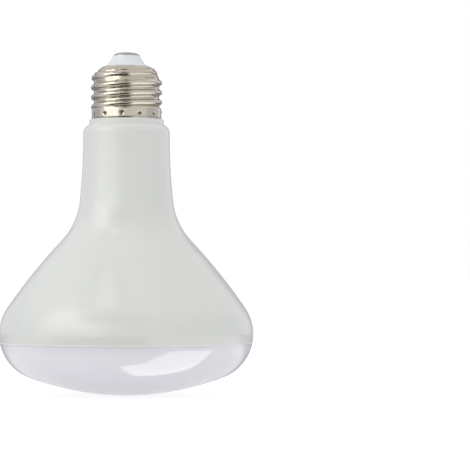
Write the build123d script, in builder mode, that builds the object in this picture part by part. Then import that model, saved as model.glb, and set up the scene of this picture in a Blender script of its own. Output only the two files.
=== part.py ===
from build123d import *
from math import acos, asin, cos, degrees, pi, radians, sin, sqrt
import os

os.makedirs("parts", exist_ok=True)

# Reflector lamp with a screw cap. It stands on its lens dome: the origin is the middle of the
# dome's gate flat, +Z is the lamp's axis and points at the centre contact. Sizes are in millimetres.

# Lens and rim
rim_radius = 47.2           # widest radius of the lamp
dome_radius = 99.8          # sphere of the lens face
gate_radius = 2.0           # flat at the dome's pole, where the gate of the moulding was trimmed
corner_radius = 17.1        # corner between the lens face and the widest point
seam_drop = 3.4             # seam between housing and lens, below the widest point
seam_gap = 0.3              # open line of the seam
lip_width = 2.2             # housing lip around the lens spigot
spigot_height = 4.0         # lens spigot above the seam
lens_clearance = 0.1        # spigot to lip

# Housing outline, from the widest point up to the neck
belly_radius = 17.45        # rounding above the widest point
belly_angle = 34.6          # turn of that rounding before the flare
throat_radius = 25.3        # hollow rounding between flare and neck
neck_foot_step = 2.4        # corner of flare and neck, out from the neck's top
neck_length = 34.19         # that corner to the top of the neck
neck_hollow = 0.635         # sagitta of the neck's slightly hollow side
rim_to_neck_top = 74.73     # widest point to the top of the neck

# Shoulder and collar under the cap
shoulder_step = 2.25        # neck outside the collar
shoulder_height = 3.1
collar_step = 0.88          # collar outside the cap's skirt
collar_height = 2.0
collar_edge = 0.35

# Formed shell with a knuckle thread
sheet = 0.3
thread_radius = 13.22       # over the crests
thread_depth = 1.1
thread_pitch = 3.629        # seven turns to the inch
thread_margin = 0.1         # plain edge under the lowest ridge
thread_overrun = 1.35       # the ridge runs out over the crown by this much
thread_phase = 10.0         # a crest on +X stands this far above the shell's edge
fade_angle = 100.0          # the thread rises out of the sheet over this turn
foot_sink = 0.04            # the thread's feet dip into the sheet, which leaves a narrow root
ridge_base = 0.7            # width of the ridge inside the sheet, as a share of its width at the feet
turn_points = 12            # points of the thread's path in one turn
skirt_inset = 0.28          # plain skirt inside the thread crests
skirt_height = 3.5
skirt_step = 1.1
root_height = 14.75         # end of the straight root above the shell's edge
crown_radius = 4.5          # rounding of the shell's top
crown_inset = 0.54          # crown inside the thread root
crown_rise = 0.62
crown_start = 15.0          # angle at which the crown leaves the thread
opening_angle = 80.15       # angle at which the crown ends in the opening

# Stakes that hold the shell on the housing
stake_count = 12
stake_height = 1.75         # above the shell's edge
stake_radius = 0.85
stake_depth = 0.38
stake_phase = 24.1

# Clearances inside the shell
shell_clearance = 0.12
stake_clearance = 0.05
core_taper = 1.2            # lead-in at the top of the housing's core

# Insulator and centre contact
insulator_height = 3.92     # cone above the shell's opening
insulator_bulge = 0.29
insulator_clearance = 0.05
flange_angle = 41.35        # angle inside the crown at which the insulator's flange ends
flange_height = 2.6         # inside the shell
contact_radius = 4.85
contact_margin = 0.15       # insulator around the contact
contact_rim = 0.3
crown_flat = 2.0            # flat on top of the contact
contact_crown = 0.9
stem_radius = 1.5
stem_length = 5.0
stem_clearance = 0.05

# Radii that follow from the sizes
skirt_radius = thread_radius - skirt_inset
collar_radius = skirt_radius + collar_step
neck_radius = collar_radius + shoulder_step
root_radius = thread_radius - thread_depth
crown_x = root_radius - crown_inset - crown_radius
opening_radius = crown_x + crown_radius * cos(radians(opening_angle))
insulator_radius = opening_radius - insulator_clearance
spigot_radius = rim_radius - lip_width - lens_clearance
stake_circle = skirt_radius + stake_radius - stake_depth

# Heights that follow from the sizes
dome_centre = sqrt(dome_radius**2 - gate_radius**2)
rim_z = dome_centre - sqrt((dome_radius - corner_radius) ** 2 - (rim_radius - corner_radius) ** 2)
seam_z = rim_z - seam_drop
seat_z = seam_z + spigot_height
neck_top = rim_z + rim_to_neck_top
collar_z = neck_top + shoulder_height
shell_z = collar_z + collar_height
skirt_top = shell_z + skirt_height
crown_height = root_height + crown_rise
crown_z = shell_z + crown_height
opening_z = crown_z + crown_radius * sin(radians(opening_angle))
insulator_top = opening_z + insulator_height
contact_z = insulator_top + contact_rim + contact_crown


def thread_ridge(inset):
    """Rounded ridge of the knuckle thread, which rises out of the sheet at both ends."""
    drop = thread_depth + foot_sink
    half_width = thread_pitch / 2 - foot_sink / 2
    arc_radius = (half_width**2 + drop**2) / (4 * drop)
    lean = asin(half_width / 2 / arc_radius)
    low_z = thread_pitch / 2 + thread_margin
    high_z = root_height + thread_overrun
    turn_low = (low_z - thread_phase) / thread_pitch
    turn_high = (high_z - thread_phase) / thread_pitch
    steps = round(turn_points * (turn_high - turn_low))

    def crest_point(step):
        turn = turn_low + (turn_high - turn_low) * step / steps
        low = min((turn - turn_low) * 360 / fade_angle, 1.0)
        high = min((turn_high - turn) * 360 / fade_angle, 1.0)
        sunk_low = (drop + sheet / 2) * (1 - low**2 * (3 - 2 * low))
        sunk_high = (drop + crown_inset + sheet) * (1 - high**2 * (3 - 2 * high))
        crest = thread_radius - sunk_low - sunk_high
        angle = 2 * pi * turn
        return (crest * cos(angle), crest * sin(angle), thread_phase + turn * thread_pitch)

    with BuildLine() as path:
        Spline([crest_point(step) for step in range(steps + 1)])
    with BuildLine() as axis:
        Line((0, 0, low_z), (0, 0, high_z))
    # The path in about half turns: short faces meet the sheet cleanly
    count = 2 * round(turn_high - turn_low)
    half_turns = [path.line.edge().trim(i / count, (i + 1) / count) for i in range(count)]
    angle = 2 * pi * turn_low
    radial_plane = Plane(path.line @ 0, x_dir=(cos(angle), sin(angle), 0), z_dir=(sin(angle), -cos(angle), 0))
    with BuildSketch(radial_plane) as profile:
        with BuildLine():
            crest = TangentArc(
                (-inset, 0),
                (-drop / 2 - inset * cos(lean), half_width / 2 - inset * sin(lean)),
                tangent=(0, 1),
            )
            foot = TangentArc(crest @ 1, (-drop - inset, half_width), tangent=crest % 1)
            base = -drop - inset - sheet
            Polyline(foot @ 1, (base, half_width * ridge_base), (base, 0), (-inset, 0))
        make_face()
        mirror(about=Plane.XZ)
    with BuildPart() as ridge:
        sweep(profile.sketch, path=Wire(half_turns), binormal=axis.line.edge(), clean=False)
    return ridge.part


def formed_skin(inset):
    """Solid inside one side of the sheet, with its thread and stakes, the shell's edge at z = 0."""
    with BuildPart() as skin:
        with BuildSketch(Plane.XZ):
            with BuildLine():
                foot = Line((0, 0), (skirt_radius - inset, 0))
                skirt = Line(foot @ 1, (skirt_radius - inset, skirt_height))
                step_end = (root_radius - inset, skirt_height + skirt_step)
                step = TangentArc(skirt @ 1, step_end, tangent=(0, 1))
                root = Line(step @ 1, (root_radius - inset, root_height))
                crown = crown_radius - inset
                crown_end = degrees(acos((opening_radius - crown_x) / crown))
                top = CenterArc((crown_x, crown_height), crown, crown_start, crown_end - crown_start)
                TangentArc(root @ 1, top @ 0, tangent=(0, 1))
                Polyline(top @ 1, (0, (top @ 1).Y), (0, 0))
            make_face()
        revolve(axis=Axis.Z)
        add(thread_ridge(inset), clean=False)
        with PolarLocations(stake_circle, stake_count, start_angle=stake_phase):
            with Locations((0, 0, stake_height)):
                Sphere(stake_radius + inset, mode=Mode.SUBTRACT)
    return skin.part


# Centre contact: a plated disc with a low flat crown, on a stem
with BuildPart() as centre_contact:
    with BuildSketch(Plane.XZ) as contact_section:
        with BuildLine():
            Polyline(
                (0, contact_z),
                (0, insulator_top - stem_length),
                (stem_radius, insulator_top - stem_length),
                (stem_radius, insulator_top),
                (contact_radius, insulator_top),
                (contact_radius, insulator_top + contact_rim),
            )
            TangentArc(
                (crown_flat, contact_z), (contact_radius, insulator_top + contact_rim), tangent=(1, 0)
            )
            Line((crown_flat, contact_z), (0, contact_z))
        make_face()
    revolve(axis=Axis.Z)
centre_contact.part.label = "centre_contact"
export_step(centre_contact.part, "parts/centre_contact.step")

# Insulator: a convex cone through the shell's opening, with a flange under the shell's crown
with BuildPart() as insulator:
    with BuildSketch(Plane.XZ) as insulator_section:
        flange_arc_radius = crown_radius - sheet - insulator_clearance
        neck_angle = degrees(acos((insulator_radius - crown_x) / flange_arc_radius))
        with BuildLine():
            flange_top = CenterArc(
                (crown_x, crown_z), flange_arc_radius, flange_angle, neck_angle - flange_angle
            )
            neck_wall = Line(flange_top @ 1, (insulator_radius, opening_z))
            cone = SagittaArc(
                neck_wall @ 1, (contact_radius + contact_margin, insulator_top), insulator_bulge
            )
            flange_z = (flange_top @ 0).Y - flange_height
            Polyline(
                cone @ 1,
                (stem_radius + stem_clearance, insulator_top),
                (stem_radius + stem_clearance, flange_z),
                ((flange_top @ 0).X, flange_z),
                flange_top @ 0,
            )
        make_face()
    revolve(axis=Axis.Z)
insulator.part.label = "insulator"
export_step(insulator.part, "parts/insulator.step")

# Screw shell: thin sheet, formed with the same wave outside and inside. The two skins are joined
# by the sheet's edge at the skirt and its edge round the opening.
outer_skin = formed_skin(0)
inner_skin = formed_skin(sheet)
outer_ends = outer_skin.faces().filter_by(GeomType.PLANE).sort_by(Axis.Z)
inner_ends = inner_skin.faces().filter_by(GeomType.PLANE).sort_by(Axis.Z)
skirt_edge = Face(outer_ends[0].outer_wire(), [inner_ends[0].outer_wire()])
opening_edge = Face.make_surface_from_curves(outer_ends[-1].edge(), inner_ends[-1].edge())
formed_faces = [
    face
    for skin, ends in ((outer_skin, outer_ends), (inner_skin, inner_ends))
    for face in skin.faces()
    if not face.is_same(ends[0]) and not face.is_same(ends[-1])
]
formed_sheet = Solid(Shell(Face.sew_faces(formed_faces + [skirt_edge, opening_edge])[0]))
with BuildPart() as screw_shell:
    with Locations((0, 0, shell_z)):
        add(formed_sheet)
screw_shell.part.label = "screw_shell"
export_step(screw_shell.part, "parts/screw_shell.step")

# Housing: core and register inside the shell, collar, shoulder, neck, flare and rim
core_radius = root_radius - sheet - shell_clearance
register_radius = skirt_radius - sheet - shell_clearance
with BuildPart() as housing:
    with BuildSketch(Plane.XZ) as housing_section:
        with BuildLine():
            lip = Polyline(
                (0, seat_z),
                (spigot_radius + lens_clearance, seat_z),
                (spigot_radius + lens_clearance, seam_z + seam_gap),
            )
            rim_low = sqrt(corner_radius**2 - (rim_z - seam_z - seam_gap) ** 2)
            lip_face = Line(lip @ 1, (rim_radius - corner_radius + rim_low, seam_z + seam_gap))
            rim = TangentArc((rim_radius, rim_z), lip_face @ 1, tangent=(0, -1))
            belly = CenterArc((rim_radius - belly_radius, rim_z), belly_radius, 0, belly_angle)
            neck_foot = (neck_radius + neck_foot_step, neck_top - neck_length)
            flare = TangentArc(belly @ 1, neck_foot, tangent=belly % 1)
            neck = SagittaArc(neck_foot, (neck_radius, neck_top), neck_hollow)
            shoulder = TangentArc(neck @ 1, (collar_radius, collar_z), tangent=(0, 1))
            Polyline(
                shoulder @ 1,
                (collar_radius, shell_z),
                (register_radius, shell_z),
                (register_radius, skirt_top - skirt_step / 2),
                (core_radius, skirt_top),
                (core_radius, flange_z - core_taper),
                (core_radius - core_taper, flange_z),
                (0, flange_z),
                (0, seat_z),
            )
        make_face()
        fillet(housing_section.vertices().sort_by_distance((*neck_foot, 0))[0], throat_radius)
        fillet(housing_section.vertices().sort_by_distance((collar_radius, shell_z, 0))[0], collar_edge)
    revolve(axis=Axis.Z)
    with PolarLocations(stake_circle, stake_count, start_angle=stake_phase):
        with Locations((0, 0, shell_z + stake_height)):
            Sphere(stake_radius + sheet + stake_clearance, mode=Mode.SUBTRACT)
housing.part.label = "housing"
export_step(housing.part, "parts/housing.step")

# Lens: side, corner and dome in one moulding, with a spigot in the housing's lip
with BuildPart() as lens:
    with BuildSketch(Plane.XZ) as lens_section:
        with BuildLine():
            side_low = sqrt(corner_radius**2 - seam_drop**2)
            edge = (rim_radius - corner_radius + side_low, seam_z)
            gate_angle = degrees(asin(gate_radius / dome_radius))
            corner_angle = degrees(asin((rim_radius - corner_radius) / (dome_radius - corner_radius)))
            dome = CenterArc((0, dome_centre), dome_radius, gate_angle - 90, corner_angle - gate_angle)
            TangentArc(dome @ 1, edge, tangent=dome % 1)
            Polyline(edge, (spigot_radius, seam_z), (spigot_radius, seat_z), (0, seat_z), (0, 0), dome @ 0)
        make_face()
    revolve(axis=Axis.Z)
lens.part.label = "lens"
export_step(lens.part, "parts/lens.step")
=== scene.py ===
"""Finishes, formed cap, stage and camera for a reflector lamp with a screw cap.

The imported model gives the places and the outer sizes. This script forms the screw shell again as
one smooth rolled sheet, lays the bead of adhesive in the lens seam, and gives each piece the
finish of the real moulding, sheet or plating.
"""
import math

import bpy
from bpy.props import FloatProperty, FloatVectorProperty, IntProperty, PointerProperty
from mathutils import Euler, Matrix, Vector


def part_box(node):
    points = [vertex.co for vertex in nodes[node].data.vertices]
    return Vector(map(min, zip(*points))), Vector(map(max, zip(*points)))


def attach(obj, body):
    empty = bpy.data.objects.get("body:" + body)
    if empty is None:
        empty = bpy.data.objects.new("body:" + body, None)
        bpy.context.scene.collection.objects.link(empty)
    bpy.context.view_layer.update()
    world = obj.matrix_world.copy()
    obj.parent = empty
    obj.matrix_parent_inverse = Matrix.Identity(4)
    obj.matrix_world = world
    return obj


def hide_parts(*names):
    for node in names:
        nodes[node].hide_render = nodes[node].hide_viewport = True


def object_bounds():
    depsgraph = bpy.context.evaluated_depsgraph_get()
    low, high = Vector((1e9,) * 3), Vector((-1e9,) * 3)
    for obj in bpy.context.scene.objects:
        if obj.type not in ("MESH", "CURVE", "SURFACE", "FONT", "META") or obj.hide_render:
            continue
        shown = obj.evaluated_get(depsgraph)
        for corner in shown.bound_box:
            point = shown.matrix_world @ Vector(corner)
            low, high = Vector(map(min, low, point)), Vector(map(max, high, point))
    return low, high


bl_info = {
    "name": "Reflector Lamp",
    "version": (1, 0, 0),
    "blender": (4, 5, 0),
    "location": "3D View > Sidebar > Reflector Lamp",
    "description": "Rolled screw shell, seam bead, finishes and white studio of a reflector lamp",
    "category": "Object",
}

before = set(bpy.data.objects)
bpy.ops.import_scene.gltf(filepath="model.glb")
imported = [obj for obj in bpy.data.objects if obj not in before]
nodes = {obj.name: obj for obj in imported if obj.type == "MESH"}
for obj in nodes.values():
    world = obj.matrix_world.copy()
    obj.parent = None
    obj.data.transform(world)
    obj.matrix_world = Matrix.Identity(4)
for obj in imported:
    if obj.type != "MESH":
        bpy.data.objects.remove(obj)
CAD_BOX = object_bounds()

MM = 0.001
TURN = 2 * math.pi
LAMP_TOP = CAD_BOX[1].z
LENS_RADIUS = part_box("lens")[1].x
SEAM_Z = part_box("housing")[0].z
SHELL_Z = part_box("screw_shell")[0].z
THREAD_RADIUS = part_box("screw_shell")[1].x


def linear(hex_colour):
    """Linear RGBA of an sRGB colour written as RRGGBB."""
    channels = [int(hex_colour[i:i + 2], 16) / 255 for i in (0, 2, 4)]
    return [c / 12.92 if c <= 0.04045 else ((c + 0.055) / 1.055) ** 2.4 for c in channels] + [1.0]


def add_node(tree, kind, inputs=None, **settings):
    """Adds one node, sets its properties, and gives each input a value or a link.

    A node given as a value links its first output.
    """
    node = tree.nodes.new(kind)
    for name, value in settings.items():
        setattr(node, name, value)
    for key, value in (inputs or {}).items():
        if isinstance(value, bpy.types.Node):
            value = value.outputs[0]
        if isinstance(value, bpy.types.NodeSocket):
            tree.links.new(value, node.inputs[key])
        else:
            node.inputs[key].default_value = value
    return node


# Settings

class LampSizes(bpy.types.PropertyGroup):
    """Sizes of the pieces that are formed here"""

    thread_radius: FloatProperty(
        name="Thread Radius", description="Radius over the crests of the rolled thread",
        subtype="DISTANCE", unit="LENGTH", precision=5, default=THREAD_RADIUS)
    thread_depth: FloatProperty(
        name="Thread Depth", description="Height of the crests above the root of the thread",
        subtype="DISTANCE", unit="LENGTH", precision=5, default=1.1 * MM)
    thread_pitch: FloatProperty(
        name="Thread Pitch", description="Rise of the thread in one turn, seven turns to the inch",
        subtype="DISTANCE", unit="LENGTH", precision=6, default=3.629 * MM)
    sheet: FloatProperty(
        name="Sheet", description="Thickness of the shell's sheet",
        subtype="DISTANCE", unit="LENGTH", precision=5, default=0.3 * MM)
    stake_count: IntProperty(
        name="Stakes", description="Number of punched stakes round the skirt", default=12, min=1)
    stake_radius: FloatProperty(
        name="Stake Radius", description="Radius of a stake at the face of the skirt",
        subtype="DISTANCE", unit="LENGTH", precision=5, default=0.8 * MM)
    stake_depth: FloatProperty(
        name="Stake Depth", description="Depth of a stake in the skirt",
        subtype="DISTANCE", unit="LENGTH", precision=5, default=0.4 * MM)
    bead_radius: FloatProperty(
        name="Bead Radius", description="Radius of the adhesive bead in the lens seam",
        subtype="DISTANCE", unit="LENGTH", precision=5, default=0.17 * MM)


class LampFinishes(bpy.types.PropertyGroup):
    """Colours of the lamp's pieces"""

    housing: FloatVectorProperty(
        name="Housing", description="Colour of the satin moulded housing",
        subtype="COLOR", size=4, min=0, max=1, default=linear("E3E5E2"))
    lens: FloatVectorProperty(
        name="Lens", description="Colour of the diffusing lens",
        subtype="COLOR", size=4, min=0, max=1, default=linear("EDECF3"))
    bead: FloatVectorProperty(
        name="Bead", description="Colour of the adhesive in the lens seam",
        subtype="COLOR", size=4, min=0, max=1, default=linear("FDFDFA"))
    nickel: FloatVectorProperty(
        name="Nickel", description="Colour of the plated screw shell",
        subtype="COLOR", size=4, min=0, max=1, default=linear("C1BBAF"))
    insulator: FloatVectorProperty(
        name="Insulator", description="Colour of the cap's insulator",
        subtype="COLOR", size=4, min=0, max=1, default=linear("E6EAEC"))
    contact: FloatVectorProperty(
        name="Contact", description="Colour of the tinned centre contact",
        subtype="COLOR", size=4, min=0, max=1, default=linear("A39E98"))


class LampStudio(bpy.types.PropertyGroup):
    """The white studio around the lamp"""

    ambient: FloatProperty(
        name="Ambient", description="Strength of the even light from the white room",
        default=0.68, min=0)
    key: FloatProperty(
        name="Key Light", description="Power of the large softbox at the left",
        default=1.4, min=0, subtype="POWER", unit="POWER")
    fill: FloatProperty(
        name="Fill Light", description="Power of the white card at the right, behind the lamp",
        default=0.7, min=0, subtype="POWER", unit="POWER")
    top: FloatProperty(
        name="Top Light", description="Power of the softbox above the lamp",
        default=1.2, min=0, subtype="POWER", unit="POWER")
    gloss: FloatProperty(
        name="Gloss", description="Brightness of the softboxes as the glossy surfaces show them",
        default=3.0, min=0)


# Pieces formed by a rule

def geometry_tree(name, **sockets):
    """An empty geometry tree with named inputs, and its input node."""
    tree = bpy.data.node_groups.new(name, "GeometryNodeTree")
    for label, kind in sockets.items():
        tree.interface.new_socket(
            label.replace("_", " "), in_out="INPUT", socket_type="NodeSocket" + kind)
    tree.interface.new_socket("Mesh", in_out="OUTPUT", socket_type="NodeSocketGeometry")
    return tree, add_node(tree, "NodeGroupInput").outputs


def end_tree(tree, geometry, finish):
    """Ends a geometry tree in one mesh with a material."""
    single = add_node(tree, "GeometryNodeRealizeInstances", {0: geometry})
    finished = add_node(tree, "GeometryNodeSetMaterial", {"Geometry": single, "Material": finish})
    add_node(tree, "NodeGroupOutput", {0: finished})


def form_piece(name, tree, values, start=None):
    """Runs a geometry tree on a new object and keeps the result as a plain mesh."""
    piece = bpy.data.objects.new(name, start or bpy.data.meshes.new(name))
    bpy.context.scene.collection.objects.link(piece)
    modifier = piece.modifiers.new(tree.name, "NODES")
    modifier.node_group = tree
    for socket in tree.interface.items_tree:
        if socket.in_out == "INPUT" and socket.name in values:
            modifier[socket.identifier] = values[socket.name]
    evaluated = piece.evaluated_get(bpy.context.evaluated_depsgraph_get())
    mesh = bpy.data.meshes.new_from_object(evaluated)
    piece.modifiers.remove(modifier)
    piece.data = mesh
    mesh.name = name
    return piece


def tangent_arc(start, end, direction, count):
    """Points after start on the arc that leaves it in a direction and ends at end."""
    chord = Vector(end) - Vector(start)
    across = Vector((-direction[1], direction[0]))
    offset = chord.dot(across)
    radius = chord.length_squared / (2 * offset)
    turn = 2 * math.atan2(offset, chord.dot(Vector(direction)))
    return [
        Vector(start) + radius * (math.sin(turn * i / count) * Vector(direction)
                                  + (1 - math.cos(turn * i / count)) * across)
        for i in range(1, count + 1)
    ]


# Forming sizes of the screw shell, with heights above its edge and turns counted from +X
SKIRT_INSET = 0.28 * MM         # skirt inside the crests
SKIRT_HEIGHT = 3.5 * MM
SKIRT_STEP = 1.1 * MM           # height of the step from the skirt in to the root
ROOT_HEIGHT = 14.75 * MM        # where the straight root ends
CROWN_RADIUS = 4.5 * MM         # rounding of the shell's top
CROWN_INSET = 0.54 * MM         # crown inside the root
CROWN_RISE = 0.62 * MM          # its centre above the straight root
CROWN_START = math.radians(15)
OPENING_ANGLE = math.radians(80.15)
THREAD_PHASE = 10.0 * MM        # height of the crest on +X
THREAD_LOW = 1.91 * MM          # the ridge starts and ends at these heights
THREAD_HIGH = 17.77 * MM
THREAD_FADE = 100 / 360         # turns over which it rises out of the sheet
THREAD_RUN_OUT = 280 / 360      # turns over which it sinks into the crown
FOOT_SINK = 0.04 * MM           # the feet of the ridge dip this far into the root
STAKE_HEIGHT = 1.75 * MM
STAKE_PHASE = 24.1 / 360
EDGE_TURN = 0.06 * MM           # how far the skirt's edge is turned in, and over what height
EDGE_TURN_HEIGHT = 0.7 * MM

# Fineness of the shell's mesh
SHELL_COLUMNS = 360
OUTER_SPACING = 0.15 * MM
INNER_SPACING = 0.3 * MM
STEP_LENGTH = 1.5               # length of the step's arc, in heights of the step
BEND_LENGTH = 2 * MM            # length of the arc from the root to the crown
WELD_DISTANCE = 0.001 * MM
SHARP_ANGLE = math.radians(38)  # edges that turn more than this stay sharp


def shell_skin(sizes, inset, spacing):
    """One side of the sheet before the thread, from the skirt's edge to the opening."""
    skirt = sizes.thread_radius - SKIRT_INSET - inset
    root = sizes.thread_radius - sizes.thread_depth - inset
    crown = CROWN_RADIUS - inset
    centre = Vector((root + inset - CROWN_INSET - CROWN_RADIUS, ROOT_HEIGHT + CROWN_RISE))
    opening = math.acos(CROWN_RADIUS * math.cos(OPENING_ANGLE) / crown)
    crown_foot = centre + crown * Vector((math.cos(CROWN_START), math.sin(CROWN_START)))

    skirt_rows = round(SKIRT_HEIGHT / spacing)
    step_rows = round(SKIRT_STEP * STEP_LENGTH / spacing)
    bend_rows = round(BEND_LENGTH / spacing)
    root_rows = round((ROOT_HEIGHT - SKIRT_HEIGHT - SKIRT_STEP) / spacing)
    crown_rows = round(crown * (opening - CROWN_START) / spacing)
    points = [Vector((skirt, SKIRT_HEIGHT * i / skirt_rows)) for i in range(skirt_rows + 1)]
    step_end = (root, SKIRT_HEIGHT + SKIRT_STEP)
    points += tangent_arc(points[-1], step_end, (0, 1), step_rows)
    points += [
        Vector((root, step_end[1] + (ROOT_HEIGHT - step_end[1]) * i / root_rows))
        for i in range(1, root_rows + 1)
    ]
    points += tangent_arc(points[-1], crown_foot, (0, 1), bend_rows)
    for i in range(1, crown_rows + 1):
        angle = CROWN_START + (opening - CROWN_START) * i / crown_rows
        points.append(centre + crown * Vector((math.cos(angle), math.sin(angle))))
    return points


def shell_section(sizes):
    """Closed section of the sheet: a line of vertices, each with its depth under the outer skin."""
    outer = shell_skin(sizes, 0, OUTER_SPACING)
    inner = shell_skin(sizes, sizes.sheet, INNER_SPACING)
    inner.reverse()
    points = outer + inner + outer[:1]
    insets = [0.0] * len(outer) + [sizes.sheet] * len(inner) + [0.0]
    section = bpy.data.meshes.new("shell_section")
    edges = [(i, i + 1) for i in range(len(points) - 1)]
    section.from_pydata([(p.x, 0, p.y) for p in points], edges, [])
    section.attributes.new("inset", "FLOAT", "POINT").data.foreach_set("value", insets)
    return section


# The shell's arithmetic, one Math node to a row: the name of what it gives, its operation, and
# the names or values that it takes. Names with capitals are the tree's inputs.

# Each vertex of the grid to its place in the section and its turn round the axis
COLUMN_STEPS = (
    ("row", "MODULO", "index", "rows"),
    ("column", "DIVIDE", "index", "rows"),
    ("whole column", "FLOOR", "column"),
    ("around", "DIVIDE", "whole column", "columns"),
    ("seam column", "ADD", "columns", 1),
)

# The nearest crest: how far it is along the axis, and how far along the thread in turns
CREST_STEPS = (
    ("above phase", "SUBTRACT", "height", "Phase"),
    ("laps", "DIVIDE", "above phase", "Pitch"),
    ("laps here", "SUBTRACT", "laps", "around"),
    ("lap", "ROUND", "laps here"),
    ("turn", "ADD", "lap", "around"),
    ("off crest", "SUBTRACT", "laps here", "lap"),
    ("off crest distance", "MULTIPLY", "off crest", "Pitch"),
    ("away", "ABSOLUTE", "off crest distance"),
    ("low end", "SUBTRACT", "Thread Low", "Phase"),
    ("low turn", "DIVIDE", "low end", "Pitch"),
    ("low risen", "ADD", "low turn", "Fade"),
    ("high end", "SUBTRACT", "Thread High", "Phase"),
    ("high turn", "DIVIDE", "high end", "Pitch"),
    ("high risen", "SUBTRACT", "high turn", "Run Out"),
    ("drop", "ADD", "Thread Depth", "Foot Sink"),
    ("low sink", "MULTIPLY_ADD", "Sheet", 0.5, "drop"),
    ("crown sink", "ADD", "Crown Inset", "Sheet"),
    ("high sink", "ADD", "crown sink", "drop"),
)

# Two arcs of one radius make the wave of the thread: one over the crest, one in the root
WAVE_STEPS = (
    ("pitch less sink", "SUBTRACT", "Pitch", "Foot Sink"),
    ("half", "MULTIPLY", "pitch less sink", 0.5),
    ("half squared", "MULTIPLY", "half", "half"),
    ("drop squared", "MULTIPLY", "drop", "drop"),
    ("squares", "ADD", "half squared", "drop squared"),
    ("drop four times", "MULTIPLY", "drop", 4.0),
    ("arc", "DIVIDE", "squares", "drop four times"),
    ("crest arc", "SUBTRACT", "arc", "inset"),
    ("root arc", "ADD", "arc", "inset"),
    ("crest less low", "SUBTRACT", "Thread Radius", "sunk low"),
    ("crest at ends", "SUBTRACT", "crest less low", "sunk high"),
    ("crest", "SUBTRACT", "crest at ends", "inset"),
    ("crest arc squared", "MULTIPLY", "crest arc", "crest arc"),
    ("away squared", "MULTIPLY", "away", "away"),
    ("crest reach squared", "SUBTRACT", "crest arc squared", "away squared"),
    ("crest reach", "SQRT", "crest reach squared"),
    ("crest centre", "SUBTRACT", "crest", "crest arc"),
    ("on crest", "ADD", "crest centre", "crest reach"),
    ("off root", "SUBTRACT", "half", "away"),
    ("root arc squared", "MULTIPLY", "root arc", "root arc"),
    ("off root squared", "MULTIPLY", "off root", "off root"),
    ("root reach squared", "SUBTRACT", "root arc squared", "off root squared"),
    ("root reach", "SQRT", "root reach squared"),
    ("root floor", "SUBTRACT", "crest", "drop"),
    ("root centre", "ADD", "root floor", "root arc"),
    ("in root", "SUBTRACT", "root centre", "root reach"),
    ("arc share", "DIVIDE", "crest arc", "arc"),
    ("crest width", "MULTIPLY", "half", "arc share"),
    ("crest half width", "MULTIPLY", "crest width", 0.5),
    ("is crest", "LESS_THAN", "away", "crest half width"),
)

# Round stakes punched into the skirt, its edge turned in, and the whole put round the axis
PUNCH_STEPS = (
    ("before end", "LESS_THAN", "turn", "high turn"),
    ("ridge in thread", "MULTIPLY", "ridge", "before end"),
    ("formed", "MAXIMUM", "base", "ridge in thread"),
    ("past stake", "SUBTRACT", "around", "Stake Phase"),
    ("stakes past", "MULTIPLY", "past stake", "Stakes"),
    ("nearest stake", "ROUND", "stakes past"),
    ("off stake", "SUBTRACT", "stakes past", "nearest stake"),
    ("off stake turns", "DIVIDE", "off stake", "Stakes"),
    ("off stake angle", "MULTIPLY", "off stake turns", TURN),
    ("across stake", "MULTIPLY", "off stake angle", "formed"),
    ("up stake", "SUBTRACT", "height", "Stake Height"),
    ("across squared", "MULTIPLY", "across stake", "across stake"),
    ("stake distance squared", "MULTIPLY_ADD", "up stake", "up stake", "across squared"),
    ("stake radius squared", "MULTIPLY", "Stake Radius", "Stake Radius"),
    ("stake share", "DIVIDE", "stake distance squared", "stake radius squared"),
    ("in stake", "SUBTRACT", 1.0, "stake share"),
    ("under stake", "MAXIMUM", "in stake", 0.0),
    ("dent", "MULTIPLY", "under stake", "Stake Depth"),
    ("edge rise", "DIVIDE", "height", "Edge Turn Height"),
    ("edge left", "SUBTRACT", 1.0, "edge rise"),
    ("edge near", "MAXIMUM", "edge left", 0.0),
    ("edge near squared", "MULTIPLY", "edge near", "edge near"),
    ("turned in", "MULTIPLY", "edge near squared", "Edge Turn"),
    ("pressed", "ADD", "dent", "turned in"),
    ("radius", "SUBTRACT", "formed", "pressed"),
    ("angle", "MULTIPLY", "around", TURN),
    ("cosine", "COSINE", "angle"),
    ("sine", "SINE", "angle"),
    ("x", "MULTIPLY", "radius", "cosine"),
    ("y", "MULTIPLY", "radius", "sine"),
    ("z", "ADD", "height", "Edge Height"),
)


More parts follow.
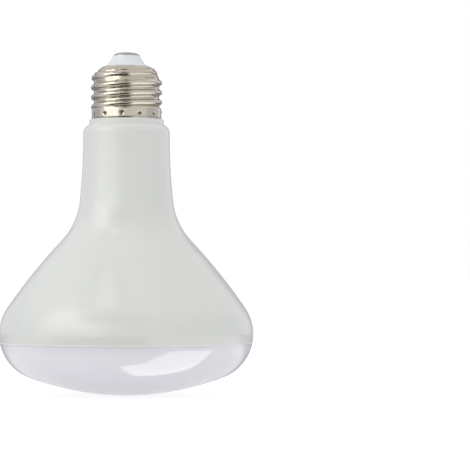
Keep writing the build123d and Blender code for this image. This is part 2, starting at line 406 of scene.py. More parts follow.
def rolled_shell_tree():
    """Turns a section about the axis, and forms the thread, the stakes and the edge in it."""
    tree, inputs = geometry_tree(
        "rolled_screw_shell", Section="Geometry", Columns="Int", Edge_Height="Float",
        Thread_Radius="Float", Thread_Depth="Float", Pitch="Float", Phase="Float",
        Thread_Low="Float", Thread_High="Float", Fade="Float", Run_Out="Float", Foot_Sink="Float",
        Sheet="Float", Crown_Inset="Float", Stakes="Float", Stake_Phase="Float",
        Stake_Height="Float", Stake_Radius="Float", Stake_Depth="Float", Edge_Turn="Float",
        Edge_Turn_Height="Float", Finish="Material")

    # A grid with a row for each vertex of the section, from which it reads its place
    rows = add_node(tree, "GeometryNodeAttributeDomainSize", {"Geometry": inputs["Section"]})
    index = add_node(tree, "GeometryNodeInputIndex")
    known = {"rows": rows, "index": index, "columns": inputs["Columns"]}
    for name, operation, *operands in COLUMN_STEPS:
        values = {i: known.get(value, value) for i, value in enumerate(operands)}
        known[name] = add_node(tree, "ShaderNodeMath", values, operation=operation)
    grid = add_node(tree, "GeometryNodeMeshGrid", {
        "Vertices X": known["seam column"], "Vertices Y": rows})
    place = add_node(tree, "GeometryNodeSampleIndex", {
        "Geometry": inputs["Section"], "Value": add_node(tree, "GeometryNodeInputPosition"),
        "Index": known["row"]}, data_type="FLOAT_VECTOR")
    place = add_node(tree, "ShaderNodeSeparateXYZ", {0: place}).outputs
    inset = add_node(tree, "GeometryNodeSampleIndex", {
        "Geometry": inputs["Section"],
        "Value": add_node(tree, "GeometryNodeInputNamedAttribute", {"Name": "inset"}),
        "Index": known["row"]})

    known.update({socket.name: socket for socket in inputs if socket.name})
    known.update({"base": place["X"], "height": place["Z"], "inset": inset})
    for name, operation, *operands in CREST_STEPS:
        values = {i: known.get(value, value) for i, value in enumerate(operands)}
        known[name] = add_node(tree, "ShaderNodeMath", values, operation=operation)
    for end, start, stop, low, high in (
            ("sunk low", "low turn", "low risen", known["low sink"], 0.0),
            ("sunk high", "high risen", "high turn", 0.0, known["high sink"])):
        known[end] = add_node(tree, "ShaderNodeMapRange", {
            "Value": known["turn"], "From Min": known[start], "From Max": known[stop],
            "To Min": low, "To Max": high}, interpolation_type="SMOOTHSTEP")

    for name, operation, *operands in WAVE_STEPS:
        values = {i: known.get(value, value) for i, value in enumerate(operands)}
        known[name] = add_node(tree, "ShaderNodeMath", values, operation=operation)
    known["ridge"] = add_node(tree, "GeometryNodeSwitch", {
        "Switch": known["is crest"], "False": known["in root"], "True": known["on crest"]},
        input_type="FLOAT")

    for name, operation, *operands in PUNCH_STEPS:
        values = {i: known.get(value, value) for i, value in enumerate(operands)}
        known[name] = add_node(tree, "ShaderNodeMath", values, operation=operation)
    turned = add_node(tree, "GeometryNodeSetPosition", {
        "Geometry": grid,
        "Position": add_node(tree, "ShaderNodeCombineXYZ", {
            "X": known["x"], "Y": known["y"], "Z": known["z"]})})
    marked = add_node(tree, "GeometryNodeStoreNamedAttribute", {
        "Geometry": turned, "Name": "struck", "Value": known["under stake"]}, domain="POINT")
    closed = add_node(tree, "GeometryNodeMergeByDistance", {
        "Geometry": marked, "Distance": WELD_DISTANCE})
    rounded = add_node(tree, "GeometryNodeSetShadeSmooth", {
        "Geometry": closed, "Shade Smooth": True})
    edge_angle = add_node(tree, "GeometryNodeInputMeshEdgeAngle")
    sharp = add_node(tree, "ShaderNodeMath", {
        0: edge_angle, 1: SHARP_ANGLE}, operation="GREATER_THAN")
    edged = add_node(tree, "GeometryNodeSetShadeSmooth", {
        "Geometry": rounded, "Selection": sharp, "Shade Smooth": False}, domain="EDGE")
    end_tree(tree, edged, inputs["Finish"])
    return tree


# The adhesive in the lens seam
BEAD_PROUD = 0.1 * MM           # how far it stands out of the lens's side
BEAD_DROP = 0.15 * MM           # its middle below the housing's lip
BEAD_UNEVENNESS = 0.04 * MM
BEAD_WANDER = 9 * MM            # length over which it wanders
BEAD_COLUMNS = 360
BEAD_SIDES = 12


def seam_bead_tree():
    """A ring of round section, a little uneven as adhesive is."""
    tree, inputs = geometry_tree(
        "seam_bead", Ring_Radius="Float", Height="Float", Bead_Radius="Float",
        Unevenness="Float", Finish="Material")
    ring = add_node(tree, "GeometryNodeCurvePrimitiveCircle", {
        "Resolution": BEAD_COLUMNS, "Radius": inputs["Ring Radius"]})
    section = add_node(tree, "GeometryNodeCurvePrimitiveCircle", {
        "Resolution": BEAD_SIDES, "Radius": inputs["Bead Radius"]})
    bead = add_node(tree, "GeometryNodeCurveToMesh", {"Curve": ring, "Profile Curve": section})
    wander = add_node(tree, "ShaderNodeTexNoise", {"Scale": 1 / BEAD_WANDER, "Detail": 1.0})
    centred = add_node(tree, "ShaderNodeVectorMath", {
        0: wander.outputs["Color"], 1: (0.5, 0.5, 0.5)}, operation="SUBTRACT")
    shift = add_node(tree, "ShaderNodeVectorMath", {
        0: centred, "Scale": inputs["Unevenness"]}, operation="SCALE")
    lifted = add_node(tree, "ShaderNodeVectorMath", {
        0: shift, 1: add_node(tree, "ShaderNodeCombineXYZ", {"Z": inputs["Height"]})},
        operation="ADD")
    laid = add_node(tree, "GeometryNodeSetPosition", {"Geometry": bead, "Offset": lifted})
    rounded = add_node(tree, "GeometryNodeSetShadeSmooth", {"Geometry": laid, "Shade Smooth": True})
    end_tree(tree, rounded, inputs["Finish"])
    return tree


# Finishes

def new_material(name):
    """An empty node material and its tree."""
    material = bpy.data.materials.new(name)
    material.use_nodes = True
    material.node_tree.nodes.clear()
    return material, material.node_tree


def finish_surface(tree, shader):
    """Ends a material's tree in a shader."""
    add_node(tree, "ShaderNodeOutputMaterial", {"Surface": shader})


def dress(node_name, material):
    """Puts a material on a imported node."""
    node = nodes[node_name]
    node.data.materials.clear()
    node.data.materials.append(material)


def shade(colour, red, green, blue):
    """A linear colour with each channel multiplied."""
    return (colour[0] * red, colour[1] * green, colour[2] * blue, 1.0)


# Sizes of the patterns in the finishes, with a relief's depth after its size
HOUSING_GRAIN = 0.7 * MM        # about 0.1 mm on the real tool, drawn coarser to show
HOUSING_GRAIN_DEPTH = 0.012 * MM
HOUSING_SINKS = 11 * MM         # from one sink to the next
HOUSING_SINK_DEPTH = 0.09 * MM
HOUSING_FLOW = 35 * MM          # width of the melt's streams
LENS_WIPES = 11 * MM
LENS_RINGS = 17.765 * MM        # from one ring to the next
LENS_RING_DEPTH = 0.006 * MM
LENS_SHADE_FALLOFF = (30 * MM, 47 * MM)        # radii over which the painted shade at the dome's foot gives way to a paler corner
GATE_EDGE = (1.9 * MM, 2.1 * MM)        # radii over which the dull gate ends
SKIN_FOLDS = 3 * MM
SKIN_FOLD_DEPTH = 0.03 * MM
NICKEL_LINES = 0.25 * MM        # a few hundredths of a millimetre on the real sheet
NICKEL_LINE_LENGTH = 9 * MM
NICKEL_LINE_DEPTH = 0.0008 * MM
NICKEL_DENTS = 5 * MM
NICKEL_DENT_DEPTH = 0.03 * MM
NICKEL_BLOOM = 2.5 * MM
ROOT_TARNISH = (1.15 * MM, 0.7 * MM)    # full and none, inside the crests
EDGE_SHADOW = (0.4 * MM, 1.0 * MM)     # full and none, above the skirt's edge, of the painted shadow where it meets the collar
STAKE_SHADE = (0.05, 0.5)             # none and full painted shade, as shares of a stake's depth
RESIN_CLOUDS = 4 * MM
RESIN_FIBRES = 0.5 * MM         # about 0.01 mm across in the real resin, drawn coarser to show
RESIN_FIBRE_DEPTH = 0.002 * MM
CONTACT_RINGS = 0.79 * MM       # about 0.4 mm on the real punch mark
CONTACT_RING_DEPTH = 0.008 * MM
CONTACT_CLOUDS = 1.8 * MM
WAVE_LENGTH = TURN / 20         # length of a Wave texture's wave at a scale of 1


def housing_finish(colour):
    """Polyester moulded in a spark-eroded tool: satin, so lamps show as soft patches.

    The wall sinks a little over the ribs inside, which bends those patches, and the tool's
    grain breaks up their edges. The melt's streams change its shade and its satin a little.
    """
    material, tree = new_material("satin_moulded_polyester")
    place = add_node(tree, "ShaderNodeTexCoord").outputs["Object"]
    grain = add_node(tree, "ShaderNodeTexNoise", {
        "Vector": place, "Scale": 1 / HOUSING_GRAIN, "Detail": 2.0})
    sinks = add_node(tree, "ShaderNodeTexNoise", {
        "Vector": place, "Scale": 1 / HOUSING_SINKS, "Detail": 1.0}, normalize=False)
    flow = add_node(tree, "ShaderNodeTexNoise", {
        "Vector": place, "Scale": 1 / HOUSING_FLOW, "Detail": 4.0})
    tone = add_node(tree, "ShaderNodeMix", {
        0: flow, 6: shade(colour, 0.97, 0.972, 0.968), 7: shade(colour, 1.03, 1.028, 1.032)},
        data_type="RGBA").outputs[2]
    # A roughness that crosses 0.274 leaves a sharp line in a denoised render, so it stays under
    gloss = add_node(tree, "ShaderNodeMapRange", {"Value": flow, "To Min": 0.2, "To Max": 0.268})
    waves = add_node(tree, "ShaderNodeBump", {"Distance": HOUSING_SINK_DEPTH, "Height": sinks})
    relief = add_node(tree, "ShaderNodeBump", {
        "Distance": HOUSING_GRAIN_DEPTH, "Height": grain, "Normal": waves})
    shader = add_node(tree, "ShaderNodeBsdfPrincipled", {
        "Base Color": tone, "Roughness": gloss, "IOR": 1.5, "Normal": relief})
    finish_surface(tree, shader)
    return material


def lens_finish(colour):
    """Opal polycarbonate from a polished tool: glossy, with crisp reflections.

    Light spreads a few millimetres inside it, which evens its shade. Its colour carries painted
    shade, a little darker in the middle of the dome, at its foot by the floor, and paler towards
    the corner. Faint rings stand round the gate where the melt slowed, wiping has dulled it
    here and there, and the trimmed gate itself is dull.
    """
    material, tree = new_material("polished_opal_polycarbonate")
    place = add_node(tree, "ShaderNodeTexCoord").outputs["Object"]
    flat = add_node(tree, "ShaderNodeVectorMath", {0: place, 1: (1, 1, 0)}, operation="MULTIPLY")
    off_axis = add_node(
        tree, "ShaderNodeVectorMath", {0: flat}, operation="LENGTH").outputs["Value"]
    wipes = add_node(tree, "ShaderNodeTexNoise", {
        "Vector": place, "Scale": 1 / LENS_WIPES, "Detail": 3.0})
    rings = add_node(tree, "ShaderNodeTexWave", {
        "Vector": flat, "Scale": WAVE_LENGTH / LENS_RINGS, "Distortion": 1.5, "Detail": 1.0,
        "Detail Scale": 2.0}, wave_type="RINGS", rings_direction="SPHERICAL")
    corner = add_node(tree, "ShaderNodeMapRange", {
        "Value": off_axis, "From Min": LENS_SHADE_FALLOFF[0], "From Max": LENS_SHADE_FALLOFF[1]},
        interpolation_type="SMOOTHSTEP")
    # Painted shade: darker in the middle of the dome, where it stands on the floor, paler at the
    # corner
    tone = add_node(tree, "ShaderNodeMix", {
        0: corner, 6: shade(colour, 0.975, 0.975, 0.98), 7: shade(colour, 1.015, 1.015, 1.015)},
        data_type="RGBA").outputs[2]
    polish = add_node(tree, "ShaderNodeMapRange", {"Value": wipes, "To Min": 0.04, "To Max": 0.11})
    gate = add_node(tree, "ShaderNodeMapRange", {
        "Value": off_axis, "From Min": GATE_EDGE[0], "From Max": GATE_EDGE[1],
        "To Min": 0.4, "To Max": 0.0})
    rough = add_node(tree, "ShaderNodeMath", {0: polish, 1: gate}, operation="ADD")
    relief = add_node(tree, "ShaderNodeBump", {"Distance": LENS_RING_DEPTH, "Height": rings})
    shader = add_node(tree, "ShaderNodeBsdfPrincipled", {
        "Base Color": tone, "Roughness": rough, "IOR": 1.585, "Normal": relief,
        "Subsurface Weight": 0.35, "Subsurface Radius": (4.0, 4.0, 4.4), "Subsurface Scale": MM})
    finish_surface(tree, shader)
    return material


def bead_finish(colour):
    """Cured silicone adhesive: cream, soft and a little shiny, with a wandering skin."""
    material, tree = new_material("cured_silicone_adhesive")
    place = add_node(tree, "ShaderNodeTexCoord").outputs["Object"]
    skin = add_node(tree, "ShaderNodeTexNoise", {
        "Vector": place, "Scale": 1 / SKIN_FOLDS, "Detail": 2.0})
    tone = add_node(tree, "ShaderNodeMix", {
        0: skin, 6: shade(colour, 0.97, 0.965, 0.95), 7: colour}, data_type="RGBA").outputs[2]
    relief = add_node(tree, "ShaderNodeBump", {"Distance": SKIN_FOLD_DEPTH, "Height": skin})
    shader = add_node(tree, "ShaderNodeBsdfPrincipled", {
        "Base Color": tone, "Roughness": 0.4, "IOR": 1.41, "Normal": relief})
    finish_surface(tree, shader)
    return material


def nickel_finish(colour):
    """Nickel plate on rolled sheet: a warm bright metal.

    The rolls leave fine lines round the thread and a slight waviness. The plate is duller and
    browner in the roots, where the bath's current was low. The stakes carry painted shade, much
    darker in their dents, and a band along the cut edge carries a painted shadow where the skirt
    sits on the collar.
    """
    material, tree = new_material("nickel_plated_rolled_sheet")
    place = add_node(tree, "ShaderNodeTexCoord").outputs["Object"]
    flat = add_node(tree, "ShaderNodeVectorMath", {0: place, 1: (1, 1, 0)}, operation="MULTIPLY")
    off_axis = add_node(
        tree, "ShaderNodeVectorMath", {0: flat}, operation="LENGTH").outputs["Value"]
    height = add_node(tree, "ShaderNodeSeparateXYZ", {0: place}).outputs["Z"]
    along = add_node(tree, "ShaderNodeMapping", {
        "Vector": place,
        "Scale": (1 / NICKEL_LINE_LENGTH, 1 / NICKEL_LINE_LENGTH, 1 / NICKEL_LINES)})
    lines = add_node(tree, "ShaderNodeTexNoise", {"Vector": along, "Scale": 1.0, "Detail": 2.0})
    dents = add_node(tree, "ShaderNodeTexNoise", {
        "Vector": place, "Scale": 1 / NICKEL_DENTS, "Detail": 1.0}, normalize=False)
    bloom = add_node(tree, "ShaderNodeTexNoise", {
        "Vector": place, "Scale": 1 / NICKEL_BLOOM, "Detail": 4.0})
    root = add_node(tree, "ShaderNodeMapRange", {
        "Value": off_axis, "From Min": THREAD_RADIUS - ROOT_TARNISH[0],
        "From Max": THREAD_RADIUS - ROOT_TARNISH[1], "To Min": 1.0, "To Max": 0.0},
        interpolation_type="SMOOTHSTEP")
    worn = add_node(tree, "ShaderNodeMath", {0: root, 1: bloom}, operation="MULTIPLY")
    struck = add_node(tree, "ShaderNodeAttribute", attribute_name="struck").outputs["Fac"]
    # Painted shade: the dents of the stakes are painted much darker
    stake_shade = add_node(tree, "ShaderNodeMapRange", {
        "Value": struck, "From Min": STAKE_SHADE[0], "From Max": STAKE_SHADE[1]})
    # Painted shadow: a darker band along the skirt's cut edge, where it sits on the collar
    edge = add_node(tree, "ShaderNodeMapRange", {
        "Value": height, "From Min": SHELL_Z + EDGE_SHADOW[0],
        "From Max": SHELL_Z + EDGE_SHADOW[1], "To Min": 0.8, "To Max": 0.0},
        interpolation_type="SMOOTHSTEP")
    tone = colour
    # Tarnish in the roots, painted shade in the stakes, a painted shadow along the edge
    for share, tarnish_and_shade in (
            (worn, shade(colour, 0.8, 0.76, 0.7)),
            (stake_shade, shade(colour, 0.32, 0.29, 0.25)),
            (edge, shade(colour, 0.6, 0.58, 0.55))):
        tone = add_node(
            tree, "ShaderNodeMix", {0: share, 6: tone, 7: tarnish_and_shade}, data_type="RGBA").outputs[2]
    gloss = add_node(tree, "ShaderNodeMapRange", {"Value": bloom, "To Min": 0.1, "To Max": 0.17})
    waves = add_node(tree, "ShaderNodeBump", {"Distance": NICKEL_DENT_DEPTH, "Height": dents})
    relief = add_node(tree, "ShaderNodeBump", {
        "Distance": NICKEL_LINE_DEPTH, "Height": lines, "Normal": waves})
    shader = add_node(tree, "ShaderNodeBsdfPrincipled", {
        "Base Color": tone, "Metallic": 1.0, "Roughness": gloss, "Normal": relief})
    finish_surface(tree, shader)
    return material


def insulator_finish(colour):
    """Insulator moulded in glass-filled white resin: a soft gloss, faint clouds and fine fibres."""
    material, tree = new_material("glass_filled_white_resin")
    place = add_node(tree, "ShaderNodeTexCoord").outputs["Object"]
    clouds = add_node(tree, "ShaderNodeTexNoise", {
        "Vector": place, "Scale": 1 / RESIN_CLOUDS, "Detail": 3.0})
    fibres = add_node(tree, "ShaderNodeTexNoise", {
        "Vector": place, "Scale": 1 / RESIN_FIBRES, "Detail": 2.0})
    tone = add_node(tree, "ShaderNodeMix", {
        0: clouds, 6: shade(colour, 0.96, 0.965, 0.97), 7: shade(colour, 1.03, 1.03, 1.03)},
        data_type="RGBA").outputs[2]
    gloss = add_node(tree, "ShaderNodeMapRange", {"Value": fibres, "To Min": 0.36, "To Max": 0.46})
    relief = add_node(tree, "ShaderNodeBump", {"Distance": RESIN_FIBRE_DEPTH, "Height": fibres})
    shader = add_node(tree, "ShaderNodeBsdfPrincipled", {
        "Base Color": tone, "Roughness": gloss, "IOR": 1.55, "Normal": relief})
    finish_surface(tree, shader)
    return material


def contact_finish(colour):
    """Tinned brass contact: a grey metal, duller than the shell.

    The punch leaves fine rings, and the tin dries in cloudy patches.
    """
    material, tree = new_material("tinned_brass")
    place = add_node(tree, "ShaderNodeTexCoord").outputs["Object"]
    rings = add_node(tree, "ShaderNodeTexWave", {
        "Vector": place, "Scale": WAVE_LENGTH / CONTACT_RINGS, "Distortion": 0.6, "Detail": 1.0,
        "Detail Scale": 1.0}, wave_type="RINGS", rings_direction="Z")
    clouds = add_node(tree, "ShaderNodeTexNoise", {
        "Vector": place, "Scale": 1 / CONTACT_CLOUDS, "Detail": 4.0})
    tone = add_node(tree, "ShaderNodeMix", {
        0: clouds, 6: shade(colour, 0.86, 0.85, 0.84), 7: shade(colour, 1.12, 1.12, 1.12)},
        data_type="RGBA").outputs[2]
    # Here it stays above 0.274, for the same reason as the housing's stays under
    gloss = add_node(tree, "ShaderNodeMapRange", {"Value": clouds, "To Min": 0.29, "To Max": 0.42})
    relief = add_node(tree, "ShaderNodeBump", {"Distance": CONTACT_RING_DEPTH, "Height": rings})
    shader = add_node(tree, "ShaderNodeBsdfPrincipled", {
        "Base Color": tone, "Metallic": 1.0, "Roughness": gloss, "Normal": relief})
    finish_surface(tree, shader)
    return material


# Operators

class LAMP_OT_housing(bpy.types.Operator):
    """Give the housing its satin moulded finish"""

    bl_idname = "lamp.housing"
    bl_label = "Housing"

    def execute(self, context):
        colours = context.scene.lamp_finishes
        dress("housing", housing_finish(colours.housing))
        return {"FINISHED"}


class LAMP_OT_lens(bpy.types.Operator):
    """Give the lens its polished opal finish and lay the adhesive bead in its seam"""

    bl_idname = "lamp.lens"
    bl_label = "Lens and Seam Bead"

    def execute(self, context):
        colours = context.scene.lamp_finishes
        sizes = context.scene.lamp_sizes
        dress("lens", lens_finish(colours.lens))
        bead = form_piece("seam_bead", seam_bead_tree(), {
            "Ring Radius": LENS_RADIUS - sizes.bead_radius + BEAD_PROUD,
            "Height": SEAM_Z - BEAD_DROP,
            "Bead Radius": sizes.bead_radius,
            "Unevenness": BEAD_UNEVENNESS,
            "Finish": bead_finish(colours.bead),
        })
        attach(bead, "root")
        return {"FINISHED"}


class LAMP_OT_cap(bpy.types.Operator):
    """Roll the screw shell from sheet, and finish the insulator and the centre contact"""

    bl_idname = "lamp.cap"
    bl_label = "Screw Cap"

    def execute(self, context):
        colours = context.scene.lamp_finishes
        sizes = context.scene.lamp_sizes
        shell = form_piece("rolled_shell", rolled_shell_tree(), {
            "Columns": SHELL_COLUMNS,
            "Edge Height": SHELL_Z,
            "Thread Radius": sizes.thread_radius,
            "Thread Depth": sizes.thread_depth,
            "Pitch": sizes.thread_pitch,
            "Phase": THREAD_PHASE,
            "Thread Low": THREAD_LOW,
            "Thread High": THREAD_HIGH,
            "Fade": THREAD_FADE,
            "Run Out": THREAD_RUN_OUT,
            "Foot Sink": FOOT_SINK,
            "Sheet": sizes.sheet,
            "Crown Inset": CROWN_INSET,
            "Stakes": float(sizes.stake_count),
            "Stake Phase": STAKE_PHASE,
            "Stake Height": STAKE_HEIGHT,
            "Stake Radius": sizes.stake_radius,
            "Stake Depth": sizes.stake_depth,
            "Edge Turn": EDGE_TURN,
            "Edge Turn Height": EDGE_TURN_HEIGHT,
            "Finish": nickel_finish(colours.nickel),
        }, start=shell_section(sizes))
        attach(shell, "root")
        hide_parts("screw_shell")
        dress("insulator", insulator_finish(colours.insulator))
        dress("centre_contact", contact_finish(colours.contact))
        return {"FINISHED"}


# Studio

HORIZON = 30.0                  # half width of the floor in metres
CAMERA_PLACE = (0.0404, -0.948, 0.04355)
CAMERA_PITCH = 90.97            # degrees from straight down
CAMERA_LENS = 195.1             # millimetres on a sensor of SENSOR_WIDTH
SENSOR_WIDTH = 36

# The floor's glow, and what reflections and the camera see besides
FLOOR_GLOW = 0.42
REFLECTED_GLOW = 0.16
CAMERA_GLOW = 0.3

# Softboxes for the diffuse surfaces: name, setting of its power, width, height, azimuth,
# elevation and distance. Lengths are in metres and angles in degrees, here and below.
# Azimuths are to the right of the viewer.
SOFTBOXES = (
    ("key_softbox", "key", 0.9, 0.75, -62, 32, 0.9),
    ("fill_card", "fill", 0.8, 0.8, 112, 8, 0.9),
    ("top_softbox", "top", 0.6, 0.6, 0, 80, 0.9),
)

# Cards that only the glossy surfaces see: name, colour, strength, width, height, azimuth,
# elevation, distance, faded edge and strength left at the foot. The bright ones show the
# softboxes, in strengths of the setting Gloss, and the others the rest of the room.
BRIGHT_CARDS = (
    ("key_card", "FFFFFF", 1.0, 1.3, 1.3, -50, 24, 0.95, 0.2, 0.6),
    ("lamp_above", "FFFFFF", 1.0, 0.3, 0.15, -35, 64, 0.8, 0.2, 1.0),
)
ROOM_CARDS = (
    ("side_flag_left", "DCE0E8", 0.9, 1.3, 1.4, -122, 0, 0.95, 0.3, 1.0),
    ("side_flag_right", "DCE0E8", 1.0, 1.6, 1.4, 100, 0, 0.95, 0.35, 1.0),
    ("dark_back", "8A8A8E", 1.0, 1.2, 0.8, 180, 8, 0.9, 0.25, 1.0),
    ("dark_room", "3A322C", 1.0, 1.35, 0.7, -18, 38, 0.9, 0.35, 1.0),
    ("lamp_ring", "4A4038", 1.0, 0.55, 0.3, -35, 66, 0.85, 0.1, 1.0),
)
FOOT_FADE = (-0.35, -0.05)      # where a card's foot ends and its full strength begins

# Patches of the floor that only the glossy surfaces see: name, colour, strength, azimuth, width
# in degrees, near and far radius, and height
FLOOR_PATCHES = (
    ("camera_side", "3A3028", 1.0, -18, 96, 0.05, 3.2, 0.3 * MM),
    ("back_floor", "9C9CA0", 1.0, 180, 160, 0.03, 3.2, 0.2 * MM),
    ("right_side", "FFFFFF", 1.6, 68, 110, 0.05, 1.5, 0.4 * MM),
)
PATCH_STEP = 10                 # degrees of a patch in one face
PATCH_CORE = 0.6                # share of its width that isn't faded

# A bright window low in front of the lamp, as the lens shows it: its outline in millimetres
GLARE_STRENGTH = 1.2            # share of the softboxes' brightness
GLARE_HEIGHT = 0.5 * MM
GLARE_OUTLINE = (
    (-2, -46), (5, -36), (19, -33.5), (31, -31.5), (68, -31.5), (52, -51), (36, -59), (19, -53),
    (11, -48),
)


def seen_by(tree, *ray_kinds):
    """1 for rays of the named kinds and 0 for others."""
    path = add_node(tree, "ShaderNodeLightPath")
    value = path.outputs[ray_kinds[0]]
    for kind in ray_kinds[1:]:
        value = add_node(tree, "ShaderNodeMath", {
            0: value, 1: path.outputs[kind]}, operation="MAXIMUM").outputs[0]
    return value


def floor_finish():
    """White sweep paper: it takes the lamp's shadow and is plain white elsewhere."""
    material, tree = new_material("white_sweep_paper")
    paper = add_node(tree, "ShaderNodeBsdfDiffuse", {"Color": linear("B4B4B4")})
    reflected = add_node(tree, "ShaderNodeMath", {
        0: seen_by(tree, "Is Glossy Ray"), 1: REFLECTED_GLOW, 2: FLOOR_GLOW},
        operation="MULTIPLY_ADD")
    shine = add_node(tree, "ShaderNodeMath", {
        0: seen_by(tree, "Is Camera Ray", "Is Transmission Ray"), 1: CAMERA_GLOW, 2: reflected},
        operation="MULTIPLY_ADD")
    glow = add_node(tree, "ShaderNodeEmission", {"Color": (1, 1, 1, 1), "Strength": shine})
    finish_surface(tree, add_node(tree, "ShaderNodeAddShader", {0: paper, 1: glow}))
    return material


def white_world(ambient):
    """A room of even light that the camera and the reflections see as plain white."""
    world = bpy.data.worlds.new("white_room")
    world.use_nodes = True
    tree = world.node_tree
    tree.nodes.clear()
    room = add_node(tree, "ShaderNodeBackground", {"Color": (1, 1, 1, 1), "Strength": ambient})
    white = add_node(tree, "ShaderNodeBackground", {"Color": (1, 1, 1, 1), "Strength": 1.0})
    mixed = add_node(tree, "ShaderNodeMixShader", {
        0: seen_by(tree, "Is Camera Ray", "Is Glossy Ray", "Is Transmission Ray"),
        1: room, 2: white})
    add_node(tree, "ShaderNodeOutputWorld", {"Surface": mixed})
    return world


def place_on_sphere(thing, azimuth, elevation, distance, centre):
    """Puts a light or card round a centre, and turns it to face that."""
    a = math.radians(azimuth)
    e = math.radians(elevation)
    away = Vector((math.sin(a) * math.cos(e), -math.cos(a) * math.cos(e), math.sin(e)))
    thing.location = centre + distance * away
    thing.rotation_euler = (centre - thing.location).to_track_quat("-Z", "Y").to_euler()


def add_softbox(name, power, width, height, azimuth, elevation, distance):
    """An area light for the diffuse surfaces. The glossy ones see the cards instead."""
    data = bpy.data.lights.new(name, "AREA")
    data.shape = "RECTANGLE"
    data.size = width
    data.size_y = height
    data.energy = power
    light = bpy.data.objects.new(name, data)
    place_on_sphere(light, azimuth, elevation, distance, Vector((0, 0, LAMP_TOP / 2)))
    light.visible_glossy = False
    bpy.context.scene.collection.objects.link(light)


def add_sheet(name, corners, faces, material):
    """Adds a mesh of the stage to the scene."""
    mesh = bpy.data.meshes.new(name)
    mesh.from_pydata(corners, [], faces)
    mesh.materials.append(material)
    sheet = bpy.data.objects.new(name, mesh)
    bpy.context.scene.collection.objects.link(sheet)
    return sheet


def square(half):
    """Corners of a square that faces up."""
    return [(-half, -half, 0), (half, -half, 0), (half, half, 0), (-half, half, 0)]


def show_in_gloss_only(card):
    """Hides a card from everything but reflections."""
    card.visible_camera = False
    card.visible_diffuse = False
    card.visible_transmission = False
    card.visible_volume_scatter = False
    card.visible_shadow = False


def card_finish(name, colour, strength, edge, foot):
    """Glowing or dark card that fades out over an edge, given as a share of its width.

    foot is the share of its strength that is left at its lower edge.
    """
    material, tree = new_material(name)
    place = add_node(tree, "ShaderNodeTexCoord").outputs["Object"]
    place = add_node(tree, "ShaderNodeSeparateXYZ", {0: place}).outputs
    shares = []
    for way in ("X", "Y"):
        away = add_node(tree, "ShaderNodeMath", {0: place[way]}, operation="ABSOLUTE")
        shares.append(add_node(tree, "ShaderNodeMapRange", {
            "Value": away, "From Min": 0.5, "From Max": 0.5 - edge},
            interpolation_type="SMOOTHSTEP"))
    share = add_node(tree, "ShaderNodeMath", {0: shares[0], 1: shares[1]}, operation="MULTIPLY")
    fall = add_node(tree, "ShaderNodeMapRange", {
        "Value": place["Y"], "From Min": FOOT_FADE[0], "From Max": FOOT_FADE[1],
        "To Min": strength * foot, "To Max": strength}, interpolation_type="SMOOTHSTEP")
    glow = add_node(tree, "ShaderNodeEmission", {"Color": linear(colour), "Strength": fall})
    clear = add_node(tree, "ShaderNodeBsdfTransparent")
    finish_surface(tree, add_node(tree, "ShaderNodeMixShader", {0: share, 1: clear, 2: glow}))
    return material


def add_gloss_card(name, colour, strength, width, height, azimuth, elevation, distance, edge, foot):
    """A rectangle round the lamp that only its glossy surfaces see."""
    card = add_sheet(
        name, square(0.5), [(0, 1, 2, 3)], card_finish(name, colour, strength, edge, foot))
    card.scale = (width, height, 1)
    place_on_sphere(card, azimuth, elevation, distance, Vector((0, 0, LAMP_TOP)))
    show_in_gloss_only(card)


def patch_finish(name, colour, strength, azimuth, width, near):
    """Glowing or dark patch that fades out at its sides and towards the lamp."""
    material, tree = new_material(name)
    place = add_node(tree, "ShaderNodeTexCoord").outputs["Object"]
    reach = add_node(tree, "ShaderNodeVectorMath", {0: place}, operation="LENGTH").outputs["Value"]
    heading = add_node(tree, "ShaderNodeVectorMath", {0: place}, operation="NORMALIZE")
    middle = (math.sin(math.radians(azimuth)), -math.cos(math.radians(azimuth)), 0)
    facing = add_node(
        tree, "ShaderNodeVectorMath", {0: heading, 1: middle}, operation="DOT_PRODUCT")
    half = math.radians(width / 2)
    across = add_node(tree, "ShaderNodeMapRange", {
        "Value": facing.outputs["Value"], "From Min": math.cos(half),
        "From Max": math.cos(PATCH_CORE * half)}, interpolation_type="SMOOTHSTEP")
    outwards = add_node(tree, "ShaderNodeMapRange", {
        "Value": reach, "From Min": near, "From Max": 2 * near}, interpolation_type="SMOOTHSTEP")
    share = add_node(tree, "ShaderNodeMath", {0: across, 1: outwards}, operation="MULTIPLY")
    glow = add_node(tree, "ShaderNodeEmission", {"Color": linear(colour), "Strength": strength})
    clear = add_node(tree, "ShaderNodeBsdfTransparent")
    finish_surface(tree, add_node(tree, "ShaderNodeMixShader", {0: share, 1: clear, 2: glow}))
    return material


def add_floor_patch(name, colour, strength, azimuth, width, near, far, height):
    """A sector of the floor that looks brighter or darker than paper in the glossy surfaces."""
    steps = round(width / PATCH_STEP)
    sides = [math.radians(azimuth + width * (i / steps - 0.5)) for i in range(steps + 1)]
    corners = [
        (radius * math.sin(side), -radius * math.cos(side), height)
        for side in sides for radius in (near, far)
    ]
    faces = [(2 * i, 2 * i + 1, 2 * i + 3, 2 * i + 2) for i in range(steps)]
    material = patch_finish(name, colour, strength, azimuth, width, near)
    show_in_gloss_only(add_sheet(name, corners, faces, material))


def add_glare(name, strength):
    """A bright shape on the floor in front of the lamp, seen in the polished lens."""
    material, tree = new_material(name)
    finish_surface(tree, add_node(tree, "ShaderNodeEmission", {
        "Color": (1, 1, 1, 1), "Strength": strength}))
    corners = [(x * MM, y * MM, GLARE_HEIGHT) for x, y in GLARE_OUTLINE]
    show_in_gloss_only(add_sheet(name, corners, [tuple(range(len(corners)))], material))


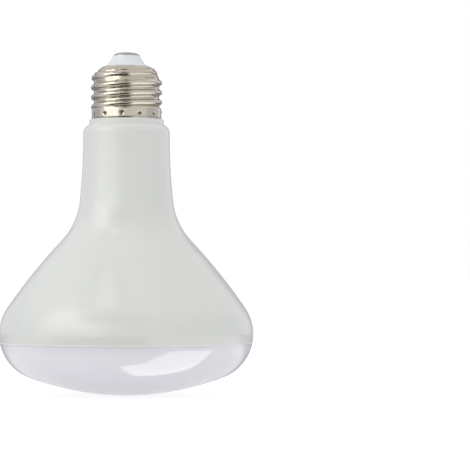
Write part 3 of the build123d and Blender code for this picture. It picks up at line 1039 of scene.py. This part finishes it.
class LAMP_OT_studio(bpy.types.Operator):
    """Set up the white floor, the room, the softboxes and the camera"""

    bl_idname = "lamp.studio"
    bl_label = "Studio"

    def execute(self, context):
        scene = context.scene
        studio = scene.lamp_studio
        scene.view_settings.view_transform = "Standard"
        scene.world = white_world(studio.ambient)
        add_sheet("floor", square(HORIZON), [(0, 1, 2, 3)], floor_finish())

        for name, setting, *size_and_place in SOFTBOXES:
            add_softbox(name, getattr(studio, setting), *size_and_place)
        for name, colour, strength, *size_and_place in BRIGHT_CARDS:
            add_gloss_card(name, colour, strength * studio.gloss, *size_and_place)
        for card in ROOM_CARDS:
            add_gloss_card(*card)
        for patch in FLOOR_PATCHES:
            add_floor_patch(*patch)
        add_glare("window_glare", studio.gloss * GLARE_STRENGTH)

        data = bpy.data.cameras.new("camera")
        data.lens = CAMERA_LENS
        data.sensor_width = SENSOR_WIDTH
        camera = bpy.data.objects.new("camera", data)
        camera.location = CAMERA_PLACE
        camera.rotation_euler = Euler((math.radians(CAMERA_PITCH), 0, 0))
        scene.collection.objects.link(camera)
        scene.camera = camera
        return {"FINISHED"}


class LAMP_PT_panel(bpy.types.Panel):
    """Lists the steps and settings of the lamp"""

    bl_label = "Reflector Lamp"
    bl_idname = "LAMP_PT_panel"
    bl_space_type = "VIEW_3D"
    bl_region_type = "UI"
    bl_category = "Reflector Lamp"

    def draw(self, context):
        layout = self.layout
        for step in STEPS:
            layout.operator(step.bl_idname)
        scene = context.scene
        for group in (scene.lamp_sizes, scene.lamp_finishes, scene.lamp_studio):
            box = layout.box()
            for name in group.__annotations__:
                box.prop(group, name)


STEPS = (LAMP_OT_housing, LAMP_OT_lens, LAMP_OT_cap, LAMP_OT_studio)
CLASSES = (LampSizes, LampFinishes, LampStudio) + STEPS + (LAMP_PT_panel,)


def register():
    for cls in CLASSES:
        bpy.utils.register_class(cls)
    bpy.types.Scene.lamp_sizes = PointerProperty(type=LampSizes)
    bpy.types.Scene.lamp_finishes = PointerProperty(type=LampFinishes)
    bpy.types.Scene.lamp_studio = PointerProperty(type=LampStudio)


def unregister():
    del bpy.types.Scene.lamp_studio
    del bpy.types.Scene.lamp_finishes
    del bpy.types.Scene.lamp_sizes
    for cls in reversed(CLASSES):
        bpy.utils.unregister_class(cls)


def main():
    register()
    bpy.ops.lamp.housing()
    bpy.ops.lamp.lens()
    bpy.ops.lamp.cap()
    bpy.ops.lamp.studio()


if __name__ == "__main__":
    main()
